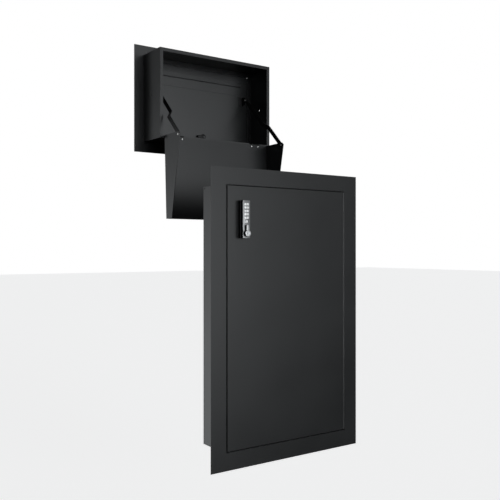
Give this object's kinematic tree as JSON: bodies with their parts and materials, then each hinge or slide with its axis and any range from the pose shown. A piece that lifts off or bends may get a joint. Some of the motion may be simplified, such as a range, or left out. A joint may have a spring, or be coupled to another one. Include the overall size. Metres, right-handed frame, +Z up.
{
  "type": "wall safe",
  "caption": "Two-unit through-the-wall parcel safe: flanged inner door with keypad lock, outer hopper with parcel door, letter flap and interlocked drop tray.",
  "frame": {"origin": "on the inside wall face, at the middle of the access flange's bottom edge", "axes": "+Z up, +Y into the wall and towards the outside, +X to the right when facing the access door"},
  "size_m": [0.6858, 0.7263, 1.6555],
  "materials": {
    "powder_coat": "fine-textured black powder coat",
    "black_hardware": "satin black",
    "bright_steel": "zinc plated",
    "lock_black": "matte black",
    "lock_silver": "satin nickel",
    "key_silver": "pale silver",
    "circuit_board": "solder mask",
    "battery_wrap": "printed sleeve, no text"
  },
  "bodies": {
    "frame": {"access_flange": "powder_coat", "access_left_wall": "powder_coat", "access_right_wall": "powder_coat", "access_top_wall": "powder_coat", "access_bottom_wall": "powder_coat", "access_hinge_frame_leaf": "powder_coat", "access_hinge_pin": "bright_steel", "access_door_stop": "black_hardware", "access_lock_strike": "black_hardware", "drop_flange": "powder_coat", "drop_left_wall": "powder_coat", "drop_right_wall": "powder_coat", "drop_top_wall": "powder_coat", "drop_bottom_wall": "powder_coat", "drop_inner_lip": "powder_coat", "drop_hinge_frame_leaf": "powder_coat", "drop_hinge_pin": "bright_steel", "tray_hinge_lip_leaves": "black_hardware", "tray_hinge_pins": "bright_steel"},
    "access_door": {"access_door_panel": "powder_coat", "access_door_stiffeners": "powder_coat", "access_hinge_door_leaf": "powder_coat", "lock_base": "lock_black", "lock_housing": "lock_black", "lock_face_plate": "lock_silver", "lock_circuit_board": "circuit_board", "lock_batteries": "battery_wrap", "lock_clutch_motor": "bright_steel", "lock_mounting_screws": "bright_steel"},
    "lock_knob": {"lock_knob": "lock_silver", "lock_spindle": "bright_steel", "lock_cam": "bright_steel", "lock_cam_nut": "bright_steel"},
    "parcel_door": {"drop_door_panel": "powder_coat", "drop_hinge_door_leaf": "powder_coat", "drop_door_handle": "black_hardware", "drop_lock_cylinder": "bright_steel", "left_door_bracket": "black_hardware", "right_door_bracket": "black_hardware", "bracket_rivets": "bright_steel", "letter_flap_pin": "black_hardware"},
    "parcel_lock_cam": {"drop_lock_cam": "black_hardware"},
    "letter_flap": {"letter_flap": "powder_coat"},
    "tray": {"delivery_tray": "powder_coat", "tray_hinge_tray_leaves": "black_hardware", "tray_hinge_rivets": "bright_steel", "tray_pivot_rivets": "bright_steel"},
    "left_arm": {"left_link_arm": "black_hardware"},
    "right_arm": {"right_link_arm": "black_hardware"},
    "key_0": {"lock_key_0": "key_silver"},
    "key_1": {"lock_key_1": "key_silver"},
    "key_2": {"lock_key_2": "key_silver"},
    "key_3": {"lock_key_3": "key_silver"},
    "key_4": {"lock_key_4": "key_silver"},
    "key_5": {"lock_key_5": "key_silver"},
    "key_6": {"lock_key_6": "key_silver"},
    "key_7": {"lock_key_7": "key_silver"},
    "key_8": {"lock_key_8": "key_silver"},
    "key_9": {"lock_key_9": "key_silver"},
    "key_enter": {"lock_key_enter": "key_silver"}
  },
  "joints": [
    {"name": "access_door_hinge", "type": "hinge", "parent": "frame", "child": "access_door", "pos_m": [0.2762, 0.0005, 0.5375], "axis": [0, 0, 1], "range_deg": [0, 90]},
    {"name": "lock_knob_turn", "type": "hinge", "parent": "access_door", "child": "lock_knob", "pos_m": [-0.2109, 0, 0.838], "axis": [0, -1, 0], "range_deg": [0, 90]},
    {"name": "key_0_press", "type": "slide", "parent": "access_door", "child": "key_0", "axis": [0, 1, 0], "range_m": [0, 0.0012], "stiffness_N_per_m": 400},
    {"name": "key_1_press", "type": "slide", "parent": "access_door", "child": "key_1", "axis": [0, 1, 0], "range_m": [0, 0.0012], "stiffness_N_per_m": 400},
    {"name": "key_2_press", "type": "slide", "parent": "access_door", "child": "key_2", "axis": [0, 1, 0], "range_m": [0, 0.0012], "stiffness_N_per_m": 400},
    {"name": "key_3_press", "type": "slide", "parent": "access_door", "child": "key_3", "axis": [0, 1, 0], "range_m": [0, 0.0012], "stiffness_N_per_m": 400},
    {"name": "key_4_press", "type": "slide", "parent": "access_door", "child": "key_4", "axis": [0, 1, 0], "range_m": [0, 0.0012], "stiffness_N_per_m": 400},
    {"name": "key_5_press", "type": "slide", "parent": "access_door", "child": "key_5", "axis": [0, 1, 0], "range_m": [0, 0.0012], "stiffness_N_per_m": 400},
    {"name": "key_6_press", "type": "slide", "parent": "access_door", "child": "key_6", "axis": [0, 1, 0], "range_m": [0, 0.0012], "stiffness_N_per_m": 400},
    {"name": "key_7_press", "type": "slide", "parent": "access_door", "child": "key_7", "axis": [0, 1, 0], "range_m": [0, 0.0012], "stiffness_N_per_m": 400},
    {"name": "key_8_press", "type": "slide", "parent": "access_door", "child": "key_8", "axis": [0, 1, 0], "range_m": [0, 0.0012], "stiffness_N_per_m": 400},
    {"name": "key_9_press", "type": "slide", "parent": "access_door", "child": "key_9", "axis": [0, 1, 0], "range_m": [0, 0.0012], "stiffness_N_per_m": 400},
    {"name": "key_enter_press", "type": "slide", "parent": "access_door", "child": "key_enter", "axis": [0, 1, 0], "range_m": [0, 0.0012], "stiffness_N_per_m": 400},
    {"name": "parcel_door_hinge", "type": "hinge", "parent": "frame", "child": "parcel_door", "pos_m": [0, 0.6475, 1.5922], "axis": [1, 0, 0], "range_deg": [0, 85]},
    {"name": "parcel_lock_turn", "type": "hinge", "parent": "parcel_door", "child": "parcel_lock_cam", "pos_m": [0.016, 0.64, 1.2905], "axis": [0, -1, 0], "range_deg": [0, 90]},
    {"name": "letter_flap_hinge", "type": "hinge", "parent": "parcel_door", "child": "letter_flap", "pos_m": [0, 0.645, 1.5415], "axis": [-1, 0, 0], "range_deg": [0, 75]},
    {"name": "tray_hinge", "type": "hinge", "parent": "frame", "child": "tray", "pos_m": [0, 0.4955, 1.254], "axis": [-1, 0, 0], "range_deg": [0, 87.79]},
    {"name": "left_arm_pivot", "type": "hinge", "parent": "tray", "child": "left_arm", "pos_m": [-0.26, 0.38089, 1.24249], "axis": [1, 0, 0], "range_deg": [0, 77.73]},
    {"name": "right_arm_pivot", "type": "hinge", "parent": "tray", "child": "right_arm", "pos_m": [0.26, 0.38089, 1.24249], "axis": [1, 0, 0], "range_deg": [0, 77.73]}
  ],
  "couplings": [
    {"joint": "tray_hinge", "follows": "parcel_door_hinge", "ratio": 1.0316},
    {"joint": "left_arm_pivot", "follows": "parcel_door_hinge", "ratio": 0.91329},
    {"joint": "right_arm_pivot", "follows": "parcel_door_hinge", "ratio": 0.91329}
  ]
}
